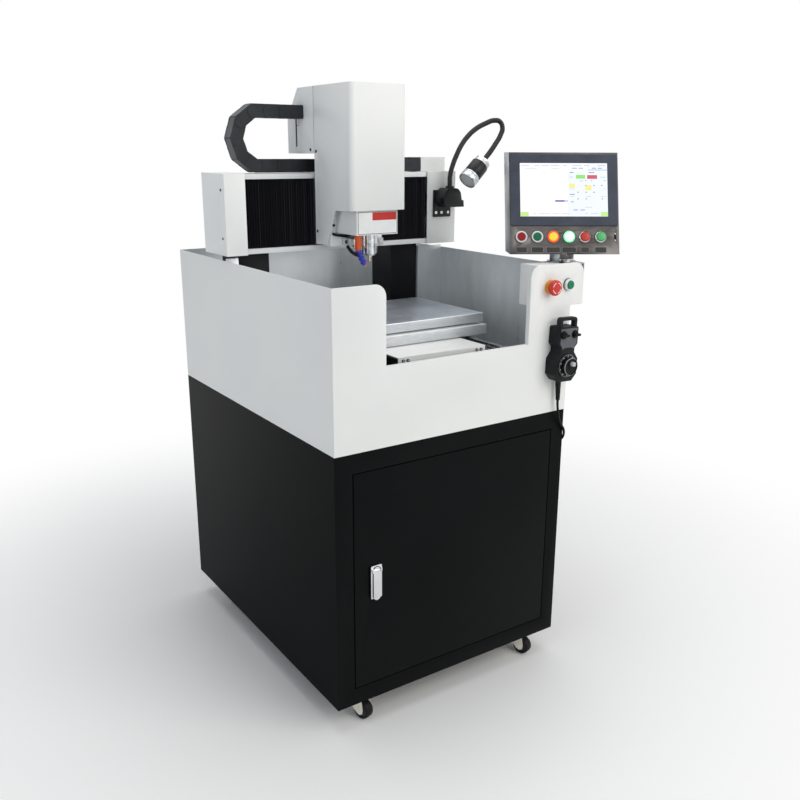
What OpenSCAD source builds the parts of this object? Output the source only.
// Circuit board routing machine: floor cabinet on casters, splash enclosure, moving table,
// bridge with pleated way covers, routing head with high-speed spindle, operator panel,
// hand pendant and gooseneck lamp. Millimetres, +X right, +Y back, +Z up, origin on the floor
// under the middle of the cabinet.

/* [Cabinet] */
// Width of the cabinet and of the splash enclosure
cab_w = 710; // [690:1:852]
// Depth of the cabinet and of the splash enclosure
cab_d = 900; // [860:1:1080]
// Height of the black cabinet body
cab_h = 660; // [550:1:792]
// Thickness of the cabinet sheet
cab_sheet = 2; // [1.5:0.1:2.4]
// Width of the cabinet door
door_w = 614; // [511:1:620]
// Height of the strip of sheet above the cabinet door
door_top = 52; // [44:1:62]
// Sideways offset of the door from the middle of the cabinet
door_off = 3; // [2:1:4]
// Height of the door's lower edge above the cabinet bottom
door_low = 46; // [38:1:55]
// Depth of the door's folded edges
door_t = 18; // [15:0.5:21.6]
// Gap around the door
door_gap = 3; // [2.5:0.1:3.6]

/* [Door lock] */
// Width of the lock plate
lock_w = 31; // [26:1:37]
// Height of the lock plate
lock_h = 87; // [80:1:104]
// Distance from the door's left edge to the lock plate
lock_in = 42; // [35:1:50]
// Height of the lock plate's middle above the door's lower edge
lock_z = 278; // [232:1:333]

/* [Casters] */
// Overall height of the casters
caster_h = 73; // [71:1:88]
// Diameter of the caster wheels
wheel_d = 50; // [42:1:52]
// Width of the caster wheels
wheel_w = 24; // [20:1:28]
// Distance from the cabinet's side to the caster axis
caster_in_x = 85; // [80:1:104]
// Distance from the cabinet's front or back to the caster axis
caster_in_y = 64; // [60:1:77]
// Trail of the caster wheels
trail = 30; // [26:1:32]
// Turn of the front casters at rest, in degrees
caster_turn = 15; // [12:1:18]

/* [Splash enclosure] */
// Height of the white splash enclosure
enc_h = 382; // [370:1:458]
// Thickness of the enclosure sheet
enc_sheet = 2; // [1.5:0.1:2.4]
// Width of the notch in the front panel
notch_w = 430; // [400:1:440]
// Height of the notch's lower edge above the enclosure bottom
notch_low = 192; // [160:1:230]
// Corner radius at the top of the front posts
post_r = 30; // [25:1:36]
// How far the right post rises above the left one
post_rise = 9; // [8:1:11]
// How far the right post's head reaches past the side wall
head_out = 42; // [35:1:50]
// Height of the right post's widened head
head_h = 110; // [100:1:132]
// Width of the control box behind the right post
box_w = 153; // [140:1:160]
// Depth of the control box
box_d = 76; // [72:1:91]
// Height of the control box
box_h = 105; // [88:1:108]

/* [Machine] */
// Sideways offset of the machine's middle from the cabinet's middle
axis_x = -25; // [-28:1:-21]
// Width of the work table
table_w = 500; // [417:1:540]
// Depth of the work table
table_d = 310; // [258:1:330]
// Thickness of the work table plate
table_t = 24; // [20:1:29]
// Position of the table's front edge at rest
table_front = -256; // [-262:1:-213]
// Height of the table's top above the enclosure bottom
table_z = 244; // [240:1:260]
// Thickness of the saddle plate under the table
saddle_t = 26; // [22:1:31]
// Gap between the table and the saddle plate
saddle_gap = 5; // [4:0.5:6]
// Height of the guide rails
rail_h = 15; // [12.5:0.5:18]
// Width of the guide rails
rail_w = 20; // [17:1:24]

/* [Bridge] */
// Front face of the bridge columns
col_y = 120; // [116:1:144]
// Width of the bridge columns
col_w = 92; // [77:1:110]
// Depth of the bridge columns
col_d = 106; // [88:1:127]
// Clear width between the bridge columns
col_gap = 398; // [380:1:420]
// Height of the beam's lower face above the floor of the enclosure
beam_z = 401; // [395:1:420]
// Height of the beam
beam_h = 204; // [196:1:245]
// Depth of the beam
beam_d = 141; // [126:1:160]
// Front face of the beam
beam_y = 70; // [68:1:75]
// Depth of the pocket in the beam's front
pocket_d = 70; // [64:1:78]
// Thickness of the beam's upper and lower lips
lip_t = 13; // [11:1:16]
// Width of the left end cover
cap_l = 58; // [48:1:69]
// Width of the right end cover
cap_r = 102; // [85:1:122]
// Number of pleats in each way cover
pleats = 28; // [23:1:33]

/* [Routing head] */
// Width of the head cover
head_w = 168; // [160:1:190]
// Height of the head cover's front face
head_face_h = 310; // [300:1:360]
// Height of the head cover's top above the bridge's top
head_rise = 221; // [210:1:240]
// Front face of the head cover
head_y = -128; // [-136:1:-124]
// Bend radius of the head cover's front corners
head_r = 14; // [12:1:17]
// Width of the spindle cover
nose_w = 126; // [110:1:130]
// Diameter of the spindle nose
spindle_d = 43; // [36:1:50]
// Shank diameter that the collet takes
collet_d = 3.175; // [2.65:0.005:3.8]

/* [Operator panel] */
// Width of the operator panel
hmi_w = 283; // [270:1:320]
// Height of the operator panel
hmi_h = 264; // [255:1:310]
// Depth of the operator panel
hmi_d = 76; // [64:1:91]
// Turn of the operator panel towards the operator, in degrees
hmi_turn = 32; // [27:1:38]
// Backward tilt of the operator panel, in degrees
hmi_tilt = 19; // [16:1:20]
// Diameter of the push buttons' bezels
bezel_d = 30.5; // [26:0.5:33]
// Spacing of the push buttons
button_pitch = 41; // [36:1:44]

/* [Pendant and lamp] */
// Width of the hand pendant's upper half
pendant_w = 64; // [60:1:76]
// Depth of the hand pendant
pendant_t = 40; // [34:1:48]
// Diameter of the dial ring on the pendant
dial_d = 62; // [54:1:66]
// Diameter of the handwheel on the pendant
hand_d = 46; // [39:1:50]
// Diameter of the lamp's gooseneck
neck_d = 15; // [12.5:0.5:17]
// Diameter of the lamp head
lamp_d = 55; // [46:1:60]
// Length of the lamp head
lamp_l = 84; // [72:1:100]

/* [Hidden] */
$fn = 64;
eps = 0.01;
// Running clearance between pieces that move past each other
clr = 0.4;
run = 0.05;
// Heights
z0 = caster_h;
z1 = z0 + cab_h;
z2 = z1 + enc_h;
face = -cab_d / 2;
// Door
dx0 = door_off - door_w / 2;
dx1 = door_off + door_w / 2;
dz0 = z0 + door_low;
dz1 = z1 - door_top;
hinge_in = 6;
hinge_x = dx1 - hinge_in;
hinge_y = face + hinge_in;
pin_r = 3;
door_sheet = 1.5;
// Lock
lock_x = dx0 + lock_in + lock_w / 2;
lock_c = dz0 + lock_z;
lock_cut = [lock_w - 7, lock_h - 12];
lever_w = lock_w - 11;
lever_l = lock_h - 8;
lever_top = lock_c + lock_h / 2 - 12;
lever_y = face - 7;
// Casters
fork_t = 2.5;
fork_in = wheel_w + 2.4;
fork_w = fork_in + 2 * fork_t;
race_h = 9;
plate_h = 3;
fork_top = caster_h - plate_h - race_h;
cx = cab_w / 2 - caster_in_x;
cy = cab_d / 2 - caster_in_y;
// Machine
floor_z = z1 + enc_sheet;
table_top = z1 + table_z;
saddle_top = table_top - table_t - saddle_gap;
saddle_bot = saddle_top - saddle_t;
pad_h = 15;
rail_top = saddle_bot - pad_h + rail_h - 4;
base_top = rail_top - rail_h;
rail_x = table_w / 2 - 55;
rail_y0 = face + 28;
rail_y1 = col_y - 12;
table_back = table_front + table_d;
col_in = col_gap / 2;
col_out = col_in + col_w;
base_w = 2 * col_out;
way_half = 32;
// Cover of the table screw, clear of the saddle and of the nut bracket's travel
travel_back = 60;
travel_front = 150;
nut_y1 = min(table_back - 15, col_y - 22 - travel_back);
nut_y0 = nut_y1 - 40;
cover_x0 = axis_x - 106;
cover_x1 = axis_x + min(162, rail_x - way_half - 1);
cover_y0 = face + 75;
cover_y1 = nut_y0 - travel_front - 3;
cover_top = saddle_bot - 2;
beam_bot = z1 + beam_z;
beam_top = beam_bot + beam_h;
beam_end = cab_w / 2 + 13;
cap_sheet = 2;
cap_in_l = -beam_end + cap_l;
cap_in_r = beam_end - cap_r;
pocket_y = beam_y + pocket_d;
open_z0 = beam_bot + lip_t;
open_z1 = beam_top - lip_t;
xrail_z = [beam_bot + 48, beam_top - 48];
screw_r = 8;
xscrew_z = (beam_bot + beam_top) / 2;
xscrew_y = beam_y + pocket_d - 26;
yscrew_z = base_top - 24;
// Head
hx0 = axis_x - head_w / 2;
hx1 = axis_x + head_w / 2;
head_top = beam_top + head_rise;
head_bot = head_top - head_face_h;
cheek_bot = beam_bot + 17;
head_back = beam_y - 9;
head_sheet = 2;
rear_y = head_back + 150;
rear_bot = beam_top + 51;
rear_drop = 77;
rear_run = 62;
// Carriage and slide
car_y0 = 30;
car_y1 = head_back - 4;
car_x0 = hx0 + head_sheet + 3;
car_x1 = hx1 - head_sheet - 3;
car_z0 = cheek_bot + 2;
car_z1 = head_top - 60;
way_w = 24;
way_d = 12;
slide_y0 = -13;
slide_y1 = car_y0 - clr;
nose_x0 = axis_x - nose_w / 2;
nose_x1 = axis_x + nose_w / 2;
nose_y = head_y + 10;
nose_bot = beam_bot + 52;
nose_top = head_bot + 148;
nose_sheet = 2;
spin_y = nose_y + 41;
nose_len = 56;
cap_len = 17;
block_top = nose_bot - 13;
block_bot = block_top - 20;
block_y0 = spin_y + 2;
// Operator panel: local frame at the middle of the face's lower edge
hmi_p = [cab_w / 2 - 8, face + 20, z2 + 30];
pivot = [cab_w / 2 + 5, face + 45];
flange_h = 10;
drum_r = 31;
hmi_low = hmi_p[2] - 2;
hmi_top = hmi_p[2] + hmi_h * cos(hmi_tilt);
hmi_wall = 1.5;
screen_x = 277;
screen_z0 = 72;
screen_h = 186;
button_x0 = -112;
button_z = 43;
press = 4;
// Front panel
notch_z = z1 + notch_low;
post_z = z2 + post_rise;
px1 = cab_w / 2 + head_out;
estop = [cab_w / 2 - 75, z2 - 48];
start = [cab_w / 2 - 14, z2 - 46];
// Control box
box_x1 = px1 + 3;
box_x0 = box_x1 - box_w;
box_top = post_z - 3;
box_bot = box_top - box_h;
// Pendant: local frame at the handwheel's middle on the panel's front face
pend = [cab_w / 2 - 41, face, z2 - 249];
pend_lean = 2;
pend_top = 101;
pend_bot = -42;
pend_low_w = pendant_w + 9;
knob_z = 81;
knob_dx = 19.5;
boot_l = 58;
boot_lean = 4;
boot_y = 14;
boot_at = pend + [pend_bot * sin(pend_lean), -enc_sheet - boot_y, pend_bot * cos(pend_lean)];
boot_way = [sin(boot_lean - pend_lean), 0, -cos(boot_lean - pend_lean)];
boot_end = boot_at + boot_l * boot_way;
// The paths below are laid out for this right side, front and height of the enclosure, and for
// this front and lower face of the beam
laid = [355, -450, 1115];
laid_beam = [355, 70, 1134];
cord_shift = [cab_w / 2, face, z2] - laid;
neck_shift = [cab_w / 2, beam_y, beam_bot] - laid_beam;
// Cable of the pendant, from the strain relief down the front, round the cabinet's right side
// and up to its gland there
cord_d = 6.5;
cord_bend = [[317, -465, 746], [322, -463, 729], [329, -460, 713], [337, -457, 699],
    [346, -456, 687], [354, -455, 676], [359, -450, 656], [360, -438, 640], [360, -420, 622],
    [360, -396, 600], [360, -368, 580], [360, -336, 566], [360, -300, 560], [360, -264, 564],
    [360, -232, 578], [362, -206, 600], [364, -186, 630], [367, -174, 658], [367, -170, 680],
    [367, -170, 694]];
cord_path = concat([boot_end, boot_end + 8 * boot_way], [for (q = cord_bend) q + cord_shift]);
// Lamp: direction of its light, middle of its lens, and path of its gooseneck
lamp_dir = [-0.747, -0.076, -0.66];
lamp_lens = [345, -20, 1314];
lamp_back = lamp_lens - lamp_l * lamp_dir;
neck_path = [[321, 30, 1292], [321, 30, 1308], [322, 31, 1326], [332, 33, 1356],
    [348, 36, 1385], [368, 39, 1414], [393, 42, 1439], [424, 45, 1460], [464, 47, 1477],
    [498, 48, 1486], [519, 46, 1482], [523, 40, 1467], [506, 28, 1443], [476, 12, 1420],
    [446, -2, 1398], lamp_back - 22 * lamp_dir, lamp_back];
// Lamp base: its own right side runs with the beam's end, its height with the beam
lamp_base_x = cab_w / 2 - 69;
lamp_base_z = beam_bot + 75;

function unit(v) = v / norm(v);

// Flat ring sweep of a round section along a path, with end caps
function sweep_dir(p, i) = i == 0 ? unit(p[1] - p[0])
    : i == len(p) - 1 ? unit(p[i] - p[i - 1])
    : unit(unit(p[i] - p[i - 1]) + unit(p[i + 1] - p[i]));
function ref_of(d) = abs(d[2]) < 0.9 ? [0, 0, 1] : [0, 1, 0];
function carry(u, d) = unit(u - (u * d) * d);
function frames(p, i, u) = i == len(p) ? []
    : concat([carry(u, sweep_dir(p, i))], frames(p, i + 1, carry(u, sweep_dir(p, i))));
function ring(c, d, u, r, n) = [for (k = [0:n - 1])
    c + r * cos(360 * k / n) * u + r * sin(360 * k / n) * cross(d, u)];

// Round tube without a bore, along a list of points
module tube(path, r, n = 10) {
    us = frames(path, 0, unit(cross(ref_of(sweep_dir(path, 0)), sweep_dir(path, 0))));
    pts = [for (i = [0:len(path) - 1])
        for (q = ring(path[i], sweep_dir(path, i), us[i], r, n)) q];
    m = len(path);
    sides = [for (i = [0:m - 2]) for (k = [0:n - 1])
        for (t = [[i * n + k, (i + 1) * n + k, (i + 1) * n + (k + 1) % n],
            [i * n + k, (i + 1) * n + (k + 1) % n, i * n + (k + 1) % n]]) t];
    ends = concat([[for (k = [0:n - 1]) k]],
        [[for (k = [n - 1:-1:0]) (m - 1) * n + k]]);
    polyhedron(points = pts, faces = concat(sides, ends), convexity = 10);
}

// Box given by its two corners
module block(a, b) {
    translate(a) cube([b[0] - a[0], b[1] - a[1], b[2] - a[2]]);
}

// Cylinder along Y from y0 to y1
module rod_y(x, z, y0, y1, r, fn = 64) {
    translate([x, y0, z]) rotate([-90, 0, 0]) cylinder(h = y1 - y0, r = r, $fn = fn);
}

// Cylinder along X from x0 to x1
module rod_x(y, z, x0, x1, r, fn = 64) {
    translate([x0, y, z]) rotate([0, 90, 0]) cylinder(h = x1 - x0, r = r, $fn = fn);
}

// Square with round corners, centred
module round_rect(w, h, r) {
    union() {
        square([w - 2 * r, h], center = true);
        square([w, h - 2 * r], center = true);
        for (i = [-1, 1], j = [-1, 1])
            translate([i * (w / 2 - r), j * (h / 2 - r)]) circle(r = r);
    }
}

module cabinet_shell() color("#1b1c1e") {
    w = cab_w / 2;
    d = cab_d / 2;
    s = cab_sheet;
    gx0 = dx0 - door_gap;
    gx1 = dx1 + door_gap;
    gz0 = dz0 - door_gap;
    gz1 = dz1 + door_gap;
    fl = door_t + 8;
    difference() {
        union() {
            difference() {
                block([-w, -d, z0], [w, d, z1]);
                block([-w + s, -d + s, z0 + s], [w - s, d - s, z1 - s]);
            }
            // Folded return around the door opening
            block([gx0 - s, face + s - eps, gz0 - s], [gx1 + s, face + fl, gz1 + s]);
        }
        block([gx0, face - 1, gz0], [gx1, face + fl + 1, gz1]);
        // Cable opening up into the machine
        translate([axis_x, 250, z1 - s - 1]) cylinder(h = s + 2, r = 30);
    }
    // Hinge pins welded into the return
    for (z = [gz0 - s, gz1 - 8])
        translate([hinge_x, hinge_y, z]) cylinder(h = 8 + s, r = pin_r);
}

module cabinet_door() color("#1d1e20") {
    s = door_sheet;
    difference() {
        block([dx0, face, dz0], [dx1, face + door_t, dz1]);
        block([dx0 + s, face + s, dz0 + s], [dx1 - s, face + door_t + 1, dz1 - s]);
        for (z = [dz0 - 1, dz1 - s - 1])
            translate([hinge_x, hinge_y, z]) cylinder(h = s + 2, r = pin_r + run);
        translate([lock_x, face, lock_c])
            cube([lock_cut[0], 12, lock_cut[1]], center = true);
    }
}

module lock_plate() color("#c9cbcc") {
    difference() {
        union() {
            translate([lock_x, face, lock_c]) rotate([90, 0, 0])
                linear_extrude(4) round_rect(lock_w, lock_h, 4);
            translate([lock_x, face + door_sheet + 4, lock_c])
                cube([lock_cut[0] - 0.4, 2 * door_sheet + 8, lock_cut[1] - 0.4], center = true);
            // Pivot ears beside the lever
            for (i = [-1, 1])
                translate([lock_x + i * (lever_w / 2 + 2.2), face - 4, lever_top])
                    rotate([90, 0, 0]) linear_extrude(7)
                        square([3, 10], center = true);
        }
        // Finger recess behind the lever
        translate([lock_x, face - 1, lock_c - lock_h / 2 + 20])
            cube([lever_w - 2, 9, 24], center = true);
        rod_x(lever_y, lever_top, lock_x - lock_w, lock_x + lock_w, 2 + run, 32);
    }
}

module lock_handle() color("#d4d6d7") {
    w = lever_w;
    rod_x(lever_y, lever_top, lock_x - w / 2 - 3.4, lock_x + w / 2 + 3.4, 2, 32);
    difference() {
        union() {
            rod_x(lever_y, lever_top, lock_x - w / 2, lock_x + w / 2, 2.6, 48);
            block([lock_x - w / 2, lever_y - 2.6, lever_top - lever_l + w / 2],
                [lock_x + w / 2, lever_y + 2.6, lever_top]);
            rod_y(lock_x, lever_top - lever_l + w / 2, lever_y - 2.6, lever_y + 2.6, w / 2);
        }
        // Shallow grip in the lever's face
        block([lock_x - w / 2 + 4, lever_y - 3.6, lever_top - lever_l + w / 2],
            [lock_x + w / 2 - 4, lever_y - 1.4, lever_top - 14]);
    }
}

// Mounting plate with its four bolt holes
module caster_plate() {
    difference() {
        translate([0, 0, z0 - plate_h]) linear_extrude(plate_h) round_rect(62, 78, 6);
        for (a = [-1, 1], b = [-1, 1])
            translate([a * 23, b * 31, z0 - plate_h - 1]) cylinder(h = plate_h + 2, r = 3);
    }
}

// Plates, ball races and king pins of the front casters, and the plates of the rigid rear ones
// with their brackets and axles
module caster_plates() color("#b9b8a8") {
    rear_brackets();
    for (i = [-1, 1]) translate([i * cx, -cy, 0]) {
        caster_plate();
        translate([0, 0, fork_top + clr]) cylinder(h = z0 - fork_top - clr - 0.5, r = 22);
        translate([0, 0, fork_top - fork_t - 3]) cylinder(h = fork_t + 10, r = 5);
        translate([0, 0, fork_top - fork_t - 5.4]) cylinder(h = 5, r = 8, $fn = 6);
    }
}

// One cheek of a caster, with its folded front edge
module cheek() {
    ax = wheel_d / 2;
    rotate([90, 0, 90]) linear_extrude(fork_t)
        polygon([[24, fork_top], [20, fork_top - 12], [-trail + 10, ax - 8], [-trail, ax - 12],
            [-trail - 9, ax - 7], [-trail - 11, ax + 4], [-trail - 5, fork_top]]);
}

// Fork with its wheel axle, trailing towards the front
module fork() {
    ax = wheel_d / 2;
    difference() {
        union() {
            translate([0, 0, fork_top - fork_t]) cylinder(h = fork_t, r = 26);
            block([-fork_w / 2, -trail - 5, fork_top - fork_t], [fork_w / 2, 16, fork_top]);
            difference() {
                translate([0, 0, fork_top - 14]) cylinder(h = 14, r = 26);
                translate([0, 0, fork_top - 15]) cylinder(h = 16, r = 26 - fork_t);
                block([-fork_w / 2, -trail, 0], [fork_w / 2, 0, fork_top]);
            }
            for (i = [0, 1]) translate([-fork_w / 2 + i * (fork_w - fork_t), 0, 0]) cheek();
        }
        translate([0, 0, fork_top - fork_t - 1]) cylinder(h = fork_t + 2, r = 5 + run);
    }
    rod_x(-trail, ax, -fork_w / 2 - 2, fork_w / 2 + 2, 4);
}

module wheel() {
    difference() {
        rod_x(-trail, wheel_d / 2, -wheel_w / 2, wheel_w / 2, wheel_d / 2, 96);
        rod_x(-trail, wheel_d / 2, -wheel_w, wheel_w, 4 + run);
        for (i = [-1, 1]) translate([i * (wheel_w / 2 + 1), -trail, wheel_d / 2])
            rotate([0, 90, 0]) difference() {
                cylinder(h = 8, r = wheel_d / 2 - 7, center = true);
                cylinder(h = 10, r = 8, center = true);
            }
    }
}

// Places a child at a front caster, turned as it rests
module at_front(side) translate([side * cx, -cy, 0]) rotate([0, 0, caster_turn]) children();

// Rigid casters at the back: plate, bracket and axle
module rear_brackets() {
    ax = wheel_d / 2;
    for (i = [-1, 1]) translate([i * cx, cy, 0]) {
        caster_plate();
        for (k = [0, 1]) translate([-fork_w / 2 + k * (fork_w - fork_t), 0, 0])
            rotate([90, 0, 90]) linear_extrude(fork_t)
                polygon([[26, z0 - plate_h], [-trail + 10, ax - 8], [-trail, ax - 12],
                    [-trail - 9, ax - 7], [-trail - 11, ax + 4], [-trail - 5, z0 - plate_h]]);
        rod_x(-trail, ax, -fork_w / 2 - 2, fork_w / 2 + 2, 4);
    }
}

module fork_fl() color("#bdbcac") at_front(-1) fork();
module fork_fr() color("#bdbcac") at_front(1) fork();
module wheel_fl() color("#1c1c1d") at_front(-1) wheel();
module wheel_fr() color("#1c1c1d") at_front(1) wheel();
module wheel_rl() color("#1c1c1d") translate([-cx, cy, 0]) wheel();
module wheel_rr() color("#1c1c1d") translate([cx, cy, 0]) wheel();

// Four drive units on the cabinet's back wall, with cooling slots
module drive_units() color("#8d9094") {
    size = [85, 150, 200];
    pitch = 125;
    y1 = cab_d / 2 - cab_sheet;
    for (i = [0:3]) translate([-240 + i * pitch, y1 - size[1], z0 + 230]) difference() {
        cube(size);
        for (k = [0:5]) translate([8, -1, 32 + 26 * k]) cube([size[0] - 16, 3, 6]);
    }
}

module enclosure_shell() color("#e5e6e4") {
    w = cab_w / 2;
    d = cab_d / 2;
    s = enc_sheet;
    difference() {
        block([-w, -d, z1], [w, d, z2]);
        block([-w + s, -d - 1, z1 + s], [w - s, d - s, z2 + 1]);
        translate([axis_x, 250, z1 - 1]) cylinder(h = s + 2, r = 30);
    }
    // Narrow guard plates between the columns and the side walls
    for (g = [[-w + s, axis_x - col_out - 1], [axis_x + col_out + 1, w - s]]) {
        block([g[0], col_y - 8, z1 + s], [g[1], col_y - 8 + s, z2 + 6]);
        block([g[0] == -w + s ? g[1] - s : g[0], col_y - 8, z1 + s],
            [g[0] == -w + s ? g[1] : g[0] + s, col_y + 12, z2 + 6]);
    }
}

// Outline of the front panel: left post, notch, right post with its widened head
module front_outline() {
    w = cab_w / 2;
    n = notch_w / 2;
    difference() {
        union() {
            translate([-w, z1]) square([2 * w, notch_low]);
            translate([-w, z1]) square([w - n, enc_h - post_r]);
            translate([-w, z1]) square([w - n - post_r, enc_h]);
            translate([-n - post_r, z2 - post_r]) circle(r = post_r);
            translate([n, z1]) square([w - n, enc_h + post_rise - head_h]);
            translate([n, post_z - head_h]) square([px1 - n, head_h - post_r]);
            translate([n + post_r, post_z - post_r - 1]) square([px1 - n - 2 * post_r, post_r + 1]);
            translate([n + post_r, post_z - post_r]) circle(r = post_r);
            translate([px1 - post_r, post_z - post_r]) circle(r = post_r);
        }
        translate([estop[0], estop[1]]) circle(r = 11);
        translate([start[0], start[1]]) circle(r = 11);
    }
}

module front_panel() color("#e8e9e7") {
    s = enc_sheet;
    n = notch_w / 2;
    translate([0, face, 0]) rotate([90, 0, 0]) linear_extrude(s) front_outline();
    // Folded returns along the notch
    block([-n - s, face - s, notch_z - s], [-n, face + 12, z2 - post_r]);
    block([n, face - s, notch_z - s], [n + s, face + 12, post_z - post_r]);
    block([-n - s, face - s, notch_z - s], [n + s, face + 12, notch_z]);
}

module control_box() color("#e2e4e3") {
    s = enc_sheet;
    difference() {
        block([box_x0, face, box_bot], [box_x1, face + box_d, box_top]);
        block([box_x0 + s, face - 1, box_bot + s], [box_x1 - s, face + box_d - s, box_top - s]);
        // Clear of the side wall that the box stands over
        block([cab_w / 2 - enc_sheet, face - 1, box_bot - 1],
            [cab_w / 2, face + box_d + 1, z2]);
        translate([pivot[0], pivot[1], box_top - s - 1]) cylinder(h = s + 2, r = 12);
    }
}

module machine_base() color("#777b7e") {
    bz = floor_z;
    difference() {
        union() {
            for (i = [-1, 1]) block([axis_x + i * rail_x - way_half, rail_y0 - 8, bz],
                [axis_x + i * rail_x + way_half, col_y + col_d, base_top]);
            block([axis_x - base_w / 2, col_y, bz],
                [axis_x + base_w / 2, col_y + col_d, base_top]);
            block([axis_x - rail_x, cover_y0 - 10, bz], [axis_x + rail_x, cover_y0 + 40, bz + 60]);
        }
        // Passage for the table screw and its motor
        block([axis_x - 60, col_y - 20, base_top - 60], [axis_x + 60, col_y + 62, base_top + 1]);
        // Spaces for the guard plates
        for (i = [-1, 1])
            block([axis_x + i * (col_out + 3) - 4, col_y - 9, bz - 1],
                [axis_x + i * (col_out + 3) + 4, col_y + 13, base_top + 1]);
    }
    // Stand of the table screw's front bearing, which also carries the cover
    difference() {
        block([axis_x - 60, cover_y0 + 2, bz + 60 - eps], [axis_x + 60, cover_y0 + 30, cover_top - 2]);
        rod_y(axis_x, yscrew_z, cover_y0, cover_y0 + 31, screw_r + 0.2);
    }
}

// Guide rail of the given length along X, its foot at the origin
module rail(l) {
    difference() {
        union() {
            translate([0, -rail_w / 2, 0]) cube([l, rail_w, rail_h * 0.55]);
            translate([0, -rail_w / 2 + 3, 0]) cube([l, rail_w - 6, rail_h]);
        }
        translate([-1, -rail_w / 2 - 1, rail_h * 0.55 - 3]) cube([l + 2, 3, 2]);
    }
}

module linear_rails() color("#b7bbbd") {
    for (i = [-1, 1]) translate([axis_x + i * rail_x, rail_y0, base_top])
        rotate([0, 0, 90]) rail(rail_y1 - rail_y0);
    for (z = xrail_z) translate([cap_in_l + 6, pocket_y, z]) rotate([90, 0, 0])
        rail(cap_in_r - cap_in_l - 12);
}

module ball_screws() color("#9a9ea0") {
    // Cross screw with its motor, in the beam's pocket
    rod_x(xscrew_y, xscrew_z, cap_in_l + 4, cap_in_r - 4, screw_r);
    block([cap_in_r - 4, xscrew_y - 18, xscrew_z - 28], [beam_end - 12, pocket_y, xscrew_z + 28]);
    block([cap_in_l - 16, xscrew_y - 18, xscrew_z - 20], [cap_in_l + 4, pocket_y, xscrew_z + 20]);
    // Table screw with its motor at the back
    rod_y(axis_x, yscrew_z, cover_y0 + 6, col_y - 20, screw_r);
    block([axis_x - 28, col_y - 20, base_top - 60], [axis_x + 28, col_y + 62, yscrew_z + 20]);
}

module table_saddle() color("#c6cacc") {
    difference() {
        union() {
            block([axis_x - table_w / 2 - 2, table_front - 14, saddle_bot],
                [axis_x + table_w / 2 + 2, table_back, saddle_top]);
            // Runner pads
            for (i = [-1, 1], y = [table_front + 20, table_back - 90])
                block([axis_x + i * rail_x - 23, y, saddle_bot - pad_h],
                    [axis_x + i * rail_x + 23, y + 60, saddle_bot]);
            // Bosses that carry the table plate
            for (i = [-1, 1], j = [0, 1])
                translate([axis_x + i * (table_w / 2 - 60), table_front + 60 + j * (table_d - 120),
                    saddle_top - eps]) cylinder(h = saddle_gap + eps, r = 14);
            // Nut bracket on the table screw
            block([axis_x - 22, nut_y0, yscrew_z - 20], [axis_x + 22, nut_y1, saddle_bot + eps]);
        }
        rod_y(axis_x, yscrew_z, nut_y0 - 1, nut_y1 + 1, screw_r + 0.5);
        for (i = [-1, 1])
            block([axis_x + i * rail_x - rail_w / 2 - clr, table_front - 20, saddle_bot - pad_h - 1],
                [axis_x + i * rail_x + rail_w / 2 + clr, table_back + 1, rail_top + clr]);
    }
}

module work_table() color("#8a9098") {
    difference() {
        block([axis_x - table_w / 2, table_front, table_top - table_t],
            [axis_x + table_w / 2, table_back, table_top]);
        // Edge chamfer along the front
        translate([axis_x, table_front, table_top]) rotate([45, 0, 0])
            cube([table_w + 2, 1.4, 1.4], center = true);
    }
}

// Sheet over the table screw, open at its ends, screwed to the front stand
module y_cover() color("#e9eae8") {
    block([cover_x0, cover_y0, cover_top - 2], [cover_x1, cover_y1, cover_top]);
    block([cover_x0, cover_y0, cover_top - 44], [cover_x1, cover_y0 + 2, cover_top]);
    for (x = [cover_x0 + 14, cover_x0 + 28, cover_x1 - 28, cover_x1 - 14])
        rod_y(x, cover_top - 9, cover_y0 - 2.5, cover_y0 + eps, 3.5);
}

module columns() color("#202124") {
    for (i = [0, 1]) {
        x = axis_x + (i == 0 ? -col_out : col_in);
        difference() {
            block([x, col_y, base_top], [x + col_w, col_y + col_d, beam_bot]);
            block([x + 10, col_y + 10, base_top - 1], [x + col_w - 10, col_y + col_d - 10, beam_bot - 14]);
        }
    }
}

module x_beam() color("#e4e5e3") {
    y1 = beam_y + beam_d;
    difference() {
        block([-beam_end + cap_sheet, beam_y, beam_bot], [beam_end - cap_sheet, y1, beam_top]);
        block([-beam_end - 1, beam_y - 1, open_z0], [beam_end + 1, pocket_y, open_z1]);
        block([-beam_end - 1, pocket_y + 12, beam_bot + 12],
            [beam_end + 1, y1 - 8, beam_top - 12]);
    }
}

// Folded cover over one end of the beam, open towards the way cover
module end_cap(x0, x1, outer) {
    s = cap_sheet;
    y1 = beam_y + beam_d;
    difference() {
        block([x0, beam_y - 5, beam_bot - s], [x1, y1 + s, beam_top + s]);
        block([x0 + (outer < 0 ? s : -1), beam_y - 5 + s, beam_bot],
            [x1 - (outer > 0 ? s : -1), y1, beam_top]);
        // Clear of the column below
        block([axis_x - col_out - 1, col_y - 1, beam_bot - 5],
            [axis_x + col_out + 1, y1 + 5, beam_bot + eps]);
        // Screw holes in the outer wall
        wall = outer < 0 ? x0 : x1 - s;
        for (z = [beam_bot + 42, beam_top - 39])
            rod_x(beam_y + 18, z, wall - 1, wall + s + 1, 2.5, 24);
    }
}

module end_cap_left() color("#e6e7e5") end_cap(-beam_end, cap_in_l, -1);
module end_cap_right() color("#e6e7e5") end_cap(cap_in_r, beam_end, 1);

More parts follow.
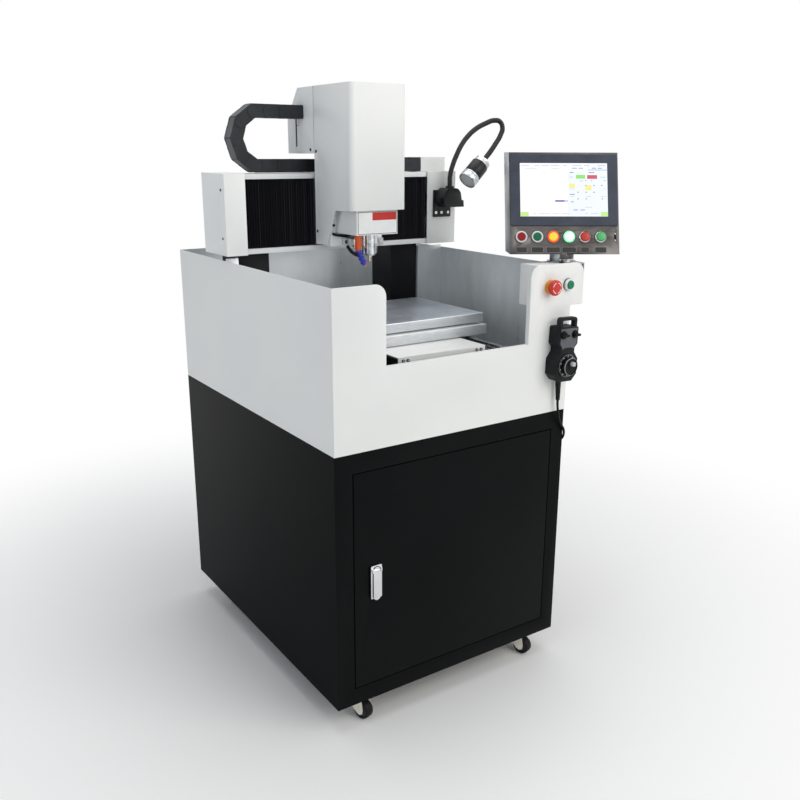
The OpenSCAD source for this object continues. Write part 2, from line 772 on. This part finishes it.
// Pleated way cover between two positions along X
module bellows(x0, x1) color("#0e0e10") {
    n = pleats;
    p = (x1 - x0) / n;
    ya = beam_y + 4;
    yb = beam_y + 20;
    t = 1.2;
    front = [for (i = [0:2 * n]) [x0 + p * i / 2, i % 2 == 0 ? yb : ya]];
    back = [for (i = [2 * n:-1:0]) [x0 + p * i / 2, (i % 2 == 0 ? yb : ya) + t * 2.2]];
    translate([0, 0, open_z0 + 0.3]) linear_extrude(open_z1 - open_z0 - 0.6)
        polygon(concat(front, back));
}

module bellows_left() bellows(cap_in_l, car_x0);
module bellows_right() bellows(car_x1, cap_in_r);

// Energy chain: lower run on the beam, bend of four links, upper run to the head. The joints of
// the bend turn by 36 degrees each.
chain_t = 35;
chain_w = 42;
chain_y0 = beam_y + 46;
chain_p = 45;
chain_up = 3;
chain_x1 = hx0 - 1;
chain_x0 = chain_x1 - 9 - chain_up * chain_p;
chain_low = beam_top + cap_sheet + chain_t / 2;
bend_dir = [180, 216, 252, 288, 324, 360];
function bend_at(k) = k == 0 ? [0, 0]
    : bend_at(k - 1) + chain_p * [cos(bend_dir[k]), sin(bend_dir[k])];
chain_rise = -bend_at(4)[1];
// Corner of a link at bend joint k, on the outer (side 1) or inner (side -1) edge
function miter(k, side, gap) = bend_at(k)
    + side * chain_t / 2 / cos(18) * [cos(bend_dir[k] - 72), sin(bend_dir[k] - 72)]
    + gap * [cos(bend_dir[k] + 18), sin(bend_dir[k] + 18)];

module chain_link(l) {
    difference() {
        translate([0.2, 0, -chain_t / 2]) cube([l - 0.4, chain_w, chain_t]);
        translate([l / 2, -1, 0]) rotate([-90, 0, 0]) cylinder(h = 2, r = 6);
    }
}

module cable_chain() color("#323436") {
    n_low = floor((cap_in_r - 8 - chain_x0) / chain_p);
    for (i = [0:n_low - 1]) translate([chain_x0 + i * chain_p, chain_y0, chain_low])
        chain_link(chain_p);
    for (i = [0:chain_up - 1])
        translate([chain_x0 + i * chain_p, chain_y0, chain_low + chain_rise]) chain_link(chain_p);
    translate([chain_x0, chain_y0 + chain_w, chain_low + chain_rise]) rotate([90, 0, 0])
        for (k = [0:3]) linear_extrude(chain_w) polygon([miter(k, 1, 0.2), miter(k, -1, 0.2),
            miter(k + 1, -1, -0.2), miter(k + 1, 1, -0.2)]);
    // Brackets at both ends of the chain
    block([chain_x1 - 9, chain_y0, chain_low + chain_rise - chain_t / 2],
        [chain_x1, chain_y0 + chain_w, chain_low + chain_rise + chain_t / 2]);
    block([chain_x0 + n_low * chain_p, chain_y0 + 1, beam_top + cap_sheet],
        [cap_in_r + 11, chain_y0 + chain_w - 1, beam_top + 42]);
}

module junction_box() color("#e7e8e6") {
    x0 = cap_in_r + 12;
    difference() {
        block([x0, chain_y0, beam_top + cap_sheet], [x0 + 88, chain_y0 + 70, beam_top + 42]);
        block([x0 + 2, chain_y0 + 2, beam_top + cap_sheet - 1],
            [x0 + 86, chain_y0 + 68, beam_top + 40]);
    }
}

module x_carriage() color("#6f7376") {
    difference() {
        union() {
            block([car_x0, car_y0, car_z0], [car_x1, car_y1, car_z1]);
            // Runner pads on the cross rails
            for (z = xrail_z, i = [-1, 1])
                block([axis_x + i * 45 - 28, car_y1 - eps, z - 20],
                    [axis_x + i * 45 + 28, pocket_y - 4, z + 20]);
            // Nut bracket on the cross screw
            block([axis_x - 22, car_y1 - eps, xscrew_z - 22],
                [axis_x + 22, xscrew_y + 16, xscrew_z + 22]);
            // End plates of the way covers
            for (x = [car_x0, car_x1 - 3])
                block([x, car_y1 - eps, open_z0 + 4], [x + 3, beam_y + 24, open_z1 - 4]);
            // Flanges that the covers are fixed to
            for (x = [hx0 + head_sheet, car_x1])
                block([x, car_y1 - 16, car_z0], [x + 3, car_y1, car_z1]);
        }
        for (z = xrail_z)
            block([car_x0 - 1, pocket_y - rail_h - clr, z - rail_w / 2 - clr],
                [car_x1 + 1, pocket_y + 1, z + rail_w / 2 + clr]);
        rod_x(xscrew_y, xscrew_z, axis_x - 30, axis_x + 30, screw_r + 0.5);
        // Two upright ways for the slide
        for (i = [-1, 1])
            block([axis_x + i * 48 - way_w / 2, car_y0 - 1, car_z0 - 1],
                [axis_x + i * 48 + way_w / 2, car_y0 + way_d, car_z1 + 1]);
    }
}

// Side outline of the head cover's cheek, in Y and Z
module cheek_outline(y0) {
    polygon([[y0, head_bot], [y0, head_top], [head_back, head_top], [head_back, cheek_bot],
        [-1, cheek_bot + 4], [-45, head_bot - 3]]);
}

module head_cover() color("#e9eae9") {
    s = head_sheet;
    r = head_r;
    difference() {
        intersection() {
            translate([hx0, 0, 0]) rotate([90, 0, 90]) linear_extrude(head_w)
                cheek_outline(head_y);
            translate([0, 0, cheek_bot - 1]) linear_extrude(head_top - cheek_bot + 2) union() {
                translate([hx0, head_y + r]) square([head_w, head_back - head_y - r]);
                translate([hx0 + r, head_y]) square([head_w - 2 * r, r + 1]);
                translate([hx0 + r, head_y + r]) circle(r = r);
                translate([hx1 - r, head_y + r]) circle(r = r);
            }
        }
        translate([0, 0, cheek_bot - 2]) linear_extrude(head_top - cheek_bot + 2 - s) union() {
            translate([hx0 + s, head_y + r]) square([head_w - 2 * s, head_back - head_y - r + 1]);
            translate([hx0 + r, head_y + s]) square([head_w - 2 * r, r]);
            translate([hx0 + r, head_y + r]) circle(r = r - s);
            translate([hx1 - r, head_y + r]) circle(r = r - s);
        }
        for (z = [rear_bot + 6, cheek_bot + 36])
            rod_x(head_back - 10, z, hx0 - 1, hx0 + s + 1, 2.5, 24);
    }
}

module head_rear_cover() color("#e3e5e4") {
    s = head_sheet;
    upper = chain_low + chain_rise;
    difference() {
        translate([hx0, 0, 0]) rotate([90, 0, 90]) linear_extrude(head_w)
            polygon([[head_back + 0.5, rear_bot], [head_back + 0.5, head_top],
                [rear_y - rear_run, head_top], [rear_y, head_top - rear_drop], [rear_y, rear_bot]]);
        translate([hx0 + s, 0, 0]) rotate([90, 0, 90]) linear_extrude(head_w - 2 * s)
            polygon([[head_back - 1, rear_bot - 1], [head_back - 1, head_top - s],
                [rear_y - rear_run - 1, head_top - s], [rear_y - s, head_top - rear_drop - 1],
                [rear_y - s, rear_bot - 1]]);
        // Slot where the cables enter, below the chain's end
        block([hx0 - 1, head_back + 98, rear_bot + 18], [hx0 + s + 1, head_back + 102, head_top - 78]);
        // Opening behind the chain's end
        block([hx0 - 1, chain_y0 + 5, upper - 10], [hx0 + s + 1, chain_y0 + chain_w - 5, upper + 10]);
        rod_x(head_back + 20, rear_bot + 10, hx0 - 1, hx0 + s + 1, 2.5, 24);
    }
}

module z_slide() color("#d9dbda") {
    difference() {
        union() {
            block([hx0 + head_sheet + 2, slide_y0, block_bot - 2],
                [hx1 - head_sheet - 2, slide_y1, nose_top]);
            for (i = [-1, 1])
                block([axis_x + i * 48 - way_w / 2 + clr, slide_y1 - eps, block_bot + 20],
                    [axis_x + i * 48 + way_w / 2 - clr, car_y0 + way_d - clr, nose_top]);
        }
        // Lightening pocket in the back, for the lifting screw
        block([axis_x - 22, slide_y1 - 16, block_bot + 40], [axis_x + 22, slide_y1 + 1, nose_top + 1]);
        for (i = [-1, 1], z = [nose_bot + 20, nose_bot + 110])
            rod_y(axis_x + i * (head_w / 2 - 13), z, slide_y0 - 1, slide_y0 + 12, 2.5, 24);
    }
}

module spindle_cover() color("#e7e9e8") {
    s = nose_sheet;
    difference() {
        block([nose_x0, nose_y, nose_bot], [nose_x1, slide_y0, nose_top]);
        block([nose_x0 + s, nose_y + s, nose_bot + s], [nose_x1 - s, slide_y0 + 1, nose_top + 1]);
        translate([axis_x, spin_y, nose_bot - 1]) cylinder(h = s + 2, r = spindle_d / 2 + 1);
    }
}

module spindle_body() color("#a9acae") {
    top = nose_bot + 170;
    difference() {
        union() {
            translate([axis_x, spin_y, nose_bot - nose_len + 5])
                cylinder(h = nose_len - 5 + 12, r = spindle_d / 2);
            translate([axis_x, spin_y, nose_bot - nose_len])
                cylinder(h = 5, r1 = spindle_d / 2 - 5, r2 = spindle_d / 2);
            translate([axis_x, spin_y, nose_bot + 12 - eps]) cylinder(h = top - nose_bot - 12, r = 31);
            // Clamp block on the slide
            block([axis_x - 46, block_y0, block_bot], [axis_x + 46, slide_y0, block_top]);
            block([axis_x - 38, spin_y + 10, nose_bot + 40], [axis_x + 38, slide_y0, nose_bot + 120]);
        }
        translate([axis_x, spin_y, nose_bot - nose_len - 1]) cylinder(h = 40, r = 6);
        rod_x(spin_y + 42, (block_top + block_bot) / 2, axis_x - 47, axis_x - 40, 4, 24);
    }
}

module spindle_nose() color("#c8bd9a") {
    z = nose_bot - nose_len;
    difference() {
        union() {
            translate([axis_x, spin_y, z - 1]) cylinder(h = 35, r = 6 - run);
            translate([axis_x, spin_y, z - 6]) cylinder(h = 6 - clr, r = 7);
            translate([axis_x, spin_y, z - cap_len]) cylinder(h = cap_len, r1 = 4, r2 = 5.5);
        }
        translate([axis_x, spin_y, z - cap_len - 1]) cylinder(h = 26, r = collet_d / 2);
    }
}

module coolant_hose() color("#3a3caa") {
    x = axis_x - 45;
    y = nose_y + 23;
    // Threaded connector under the spindle cover
    translate([x, y, nose_bot - 37]) cylinder(h = 37, r = 8.5);
    translate([x, y, nose_bot - 41]) cylinder(h = 5, r = 6);
    // Ball-jointed segments down to the tip of the spindle
    for (i = [0:3]) translate([x + 1 + i * 7, y + i * 3.2, nose_bot - 44 - i * 10])
        rotate([-16, 35, 0]) {
            cylinder(h = 8, r1 = 5.4, r2 = 7, center = true);
            sphere(r = 6, $fn = 40);
        }
    translate([x + 26.5, y + 11.8, nose_bot - 81]) rotate([-16, 35, 0])
        cylinder(h = 14, r1 = 2.4, r2 = 4.8, center = true);
}

// Flange and swivel pin that carry the operator panel
module hmi_pivot() color("#c4c6c8") {
    translate([pivot[0], pivot[1], box_top]) difference() {
        union() {
            cylinder(h = 4, r = 37);
            cylinder(h = flange_h, r = drum_r);
            cylinder(h = hmi_low - box_top + 10, r = 13);
        }
        translate([0, 0, -1]) cylinder(h = hmi_low - box_top + 12, r = 10);
    }
}

// Places a child in the tilted frame of the operator panel
module at_hmi() translate(hmi_p) rotate([-hmi_tilt, 0, -hmi_turn]) children();

// Level slab around the operator panel
module level(low, high) {
    translate([hmi_p[0] - 400, hmi_p[1] - 400, low]) cube([800, 800, high - low]);
}

module hmi_housing() color("#8b857f") {
    w = hmi_w / 2;
    s = hmi_wall;
    difference() {
        union() {
            // Sheet box, cut level along its bottom and its top
            intersection() {
                at_hmi() translate([-w, 0, -60]) cube([hmi_w, hmi_d, hmi_h + 100]);
                level(hmi_low, hmi_top);
            }
            translate([pivot[0], pivot[1], box_top + flange_h + clr])
                cylinder(h = hmi_low + eps - box_top - flange_h - clr, r = drum_r);
        }
        difference() {
            intersection() {
                at_hmi() translate([-w + s, s, -60])
                    cube([hmi_w - 2 * s, hmi_d - 2 * s, hmi_h + 100]);
                level(hmi_low + s, hmi_top - s);
            }
            translate([pivot[0], pivot[1], hmi_low]) cylinder(h = 12, r = 18);
        }
        translate([pivot[0], pivot[1], box_top + flange_h])
            cylinder(h = hmi_low - box_top, r = 13 + run);
        at_hmi() {
            translate([-screen_x / 2 + 6, -1, screen_z0 + 6])
                cube([screen_x - 12, s + 2, screen_h - 12]);
            for (i = [0:5]) translate([button_x0 + i * button_pitch, -1, button_z])
                rotate([-90, 0, 0]) cylinder(h = s + 2, r = 11);
            translate([w - 13, -1, button_z - 4]) cube([5, s + 2, 8]);
        }
    }
}

module hmi_screen() color("#474b58") at_hmi() {
    translate([-screen_x / 2, -4, screen_z0]) cube([screen_x, 4, screen_h]);
    translate([-screen_x / 2 + 6.5, -eps, screen_z0 + 6.5])
        cube([screen_x - 13, 30, screen_h - 13]);
}

module button_bezels() color("#d0d2d4") at_hmi() {
    for (i = [0:5]) translate([button_x0 + i * button_pitch, 0, button_z]) rotate([90, 0, 0])
        difference() {
            union() {
                cylinder(h = 5, r = bezel_d / 2);
                translate([0, 0, -hmi_wall - 12]) cylinder(h = hmi_wall + 13, r = 10.8);
            }
            translate([0, 0, -hmi_wall - 13]) cylinder(h = 30, r = 9);
            translate([0, 0, 1]) cylinder(h = 10, r = 11);
        }
}

// One push button, its cap standing in its bezel
module push(i) at_hmi() translate([button_x0 + i * button_pitch, 0, button_z])
    rotate([90, 0, 0]) {
        translate([0, 0, press + 0.2]) cylinder(h = 4.3, r = 10.6);
        translate([0, 0, -8]) cylinder(h = 9 + press, r = 8.6);
    }

module button_1() color("#8e1a20") push(0);
module button_2() color("#0f6e4c") push(1);
module button_3() color("#f08a2c") push(2);
module button_4() color("#d8f4e4") push(3);
module button_5() color("#c64640") push(4);
module button_6() color("#55b070") push(5);

module estop_base() color("#e0902a") {
    difference() {
        union() {
            rod_y(estop[0], estop[1], face - enc_sheet - 9, face - enc_sheet, 18);
            rod_y(estop[0], estop[1], face - enc_sheet - 1, face + 45, 10.8);
        }
        rod_y(estop[0], estop[1], face - enc_sheet - 10, face + 30, 8);
    }
}

module estop_head() color("#c8302c") {
    rod_y(estop[0], estop[1], face - enc_sheet - 24, face - enc_sheet - 14, 20);
    translate([estop[0], face - enc_sheet - 24, estop[1]]) rotate([90, 0, 0])
        cylinder(h = 2.5, r1 = 20, r2 = 17);
    rod_y(estop[0], estop[1], face - enc_sheet - 15, face + 24, 7.6);
}

module start_bezel() color("#cfd2d3") {
    difference() {
        union() {
            rod_y(start[0], start[1], face - enc_sheet - 10, face - enc_sheet, 15);
            rod_y(start[0], start[1], face - enc_sheet - 1, face + 30, 10.8);
        }
        rod_y(start[0], start[1], face - enc_sheet - 11, face - enc_sheet - 4, 11.2);
        rod_y(start[0], start[1], face - enc_sheet - 12, face + 20, 8);
    }
}

module start_button() color("#0b7a4b") {
    rod_y(start[0], start[1], face - enc_sheet - 14, face - enc_sheet - 8, 10.8);
    rod_y(start[0], start[1], face - enc_sheet - 9, face + 14, 7.6);
}

// Places a child in the leaning frame of the hand pendant, its Z away from the panel
module at_pendant() translate([pend[0], pend[1] - enc_sheet, pend[2]])
    rotate([90, 0, 0]) rotate([0, 0, -pend_lean]) children();

// Places a child at the top of the strain relief, its Z down along the boot
module at_boot() at_pendant() translate([0, pend_bot, boot_y]) rotate([0, 0, boot_lean])
    rotate([90, 0, 0]) children();

module pendant_body() color("#1b1c1e") {
    t = pendant_t;
    w = pendant_w / 2;
    v = pend_low_w / 2;
    at_pendant() difference() {
        union() {
            linear_extrude(t) polygon([[-v, pend_bot + 18], [-v + 16, pend_bot], [v - 16, pend_bot],
                [v, pend_bot + 18], [v, 16], [w - 9, 34], [w - 9, 46], [w, 56], [w, pend_top - 4],
                [w - 4, pend_top], [-w + 4, pend_top], [-w, pend_top - 4], [-w, 56],
                [-w + 9, 46], [-w + 9, 34], [-v, 16]]);
            // Hanging loop
            translate([0, 0, 22]) linear_extrude(14) difference() {
                translate([0, pend_top + 6]) round_rect(pendant_w - 5, 36, 9);
                translate([0, pend_top + 8]) round_rect(pendant_w - 22, 16, 4);
            }
            translate([0, 0, t - eps]) cylinder(h = 3, r = dial_d / 2);
        }
        translate([0, 0, t - 20]) cylinder(h = 24, r = 5);
        for (i = [-1, 1]) translate([i * knob_dx, knob_z, t - 12]) cylinder(h = 13, r = 3.5);
    }
    // Strain relief: collar and ribbed boot
    at_boot() {
        translate([0, 0, -2]) cylinder(h = 16, r = 7.5);
        cylinder(h = boot_l, r = 3.8);
        for (i = [0:7]) translate([0, 0, 16 + 5.2 * i]) cylinder(h = 3, r = 7.2 - 0.2 * i);
    }
}

module handwheel() color("#17181a") at_pendant() {
    t = pendant_t + 3 + clr;
    translate([0, 0, t]) difference() {
        cylinder(h = 14, r = hand_d / 2);
        translate([0, 0, 12]) cylinder(h = 3, r = hand_d / 2 - 3);
    }
    translate([0, 0, t + 11.9]) cylinder(h = 2.5, r = 8);
    translate([0, 8, t + 14.3]) cylinder(h = 10, r = 6);
    translate([0, 0, t - 18]) cylinder(h = 19, r = 5 - run);
}

module knob(i) at_pendant() translate([i * knob_dx, knob_z, pendant_t + clr]) {
    cylinder(h = 6, r = 9);
    translate([-9.5, -2.5, 5.9]) cube([19, 5, 8]);
    translate([0, 0, -10]) cylinder(h = 11, r = 3.5 - run);
}

module knob_axis() color("#141416") knob(-1);
module knob_rate() color("#141416") knob(1);

module pendant_cable() color("#161617") tube(cord_path, cord_d / 2, 8);

// Bracket and gland nut that take the cable on the cabinet's right side
module cable_gland() color("#1a1b1c") {
    e = cord_path[len(cord_path) - 1];
    block([cab_w / 2, e[1] - 14, e[2] + 14], [cab_w / 2 + 28, e[1] + 14, e[2] + 18]);
    block([cab_w / 2, e[1] - 14, e[2]], [cab_w / 2 + 3, e[1] + 14, e[2] + 18]);
    translate([e[0], e[1], e[2]]) cylinder(h = 14, r = 7);
}

// Base plate and clamp block of the lamp on the right end cover
module lamp_base() color("#222427") {
    translate([lamp_base_x, beam_y - 5, lamp_base_z]) {
        difference() {
            translate([0, -5, 0]) cube([62, 5, 78]);
            for (x = [8, 28, 52]) rod_y(x, 13, -6, 1, 3, 24);
        }
        difference() {
            union() {
                translate([8, -5, 30]) rotate([90, 0, 0]) linear_extrude(42)
                    polygon([[0, 10], [12, 0], [72, 0], [70, 19], [64, 19], [59, 42], [50, 52],
                        [40, 54], [14, 54], [4, 44], [-4, 26]]);
                translate([35, -35, 80]) cylinder(h = 10, r = 12);
            }
            // Socket of the gooseneck
            translate([35, -35, 83]) cylinder(h = 8, r = neck_d / 2 + 0.02);
        }
    }
}

module gooseneck() color("#26282b") translate(neck_shift) tube(neck_path, neck_d / 2, 12);

module lamp_head() color("#c9cbcc") {
    p = lamp_back + neck_shift;
    az = atan2(lamp_dir[1], lamp_dir[0]);
    el = acos(lamp_dir[2]);
    translate(p) rotate([0, el, az]) {
        difference() {
            union() {
                cylinder(h = 18, r = lamp_d / 2 - 3);
                translate([0, 0, 17]) cylinder(h = lamp_l - 38, r = lamp_d / 2 - 1);
                translate([0, 0, lamp_l - 22]) cylinder(h = 22, r = lamp_d / 2);
            }
            translate([0, 0, lamp_l - 4]) cylinder(h = 5, r = lamp_d / 2 - 3);
        }
    }
}

cabinet_shell();
cabinet_door();
lock_plate();
lock_handle();
caster_plates();
fork_fl();
fork_fr();
wheel_fl();
wheel_fr();
wheel_rl();
wheel_rr();
drive_units();
enclosure_shell();
front_panel();
control_box();
machine_base();
linear_rails();
ball_screws();
table_saddle();
work_table();
y_cover();
columns();
x_beam();
end_cap_left();
end_cap_right();
bellows_left();
bellows_right();
cable_chain();
junction_box();
x_carriage();
head_cover();
head_rear_cover();
z_slide();
spindle_cover();
spindle_body();
coolant_hose();
spindle_nose();
hmi_pivot();
hmi_housing();
hmi_screen();
button_bezels();
button_1();
button_2();
button_3();
button_4();
button_5();
button_6();
estop_base();
estop_head();
start_bezel();
start_button();
pendant_body();
handwheel();
knob_axis();
knob_rate();
pendant_cable();
cable_gland();
lamp_base();
gooseneck();
lamp_head();
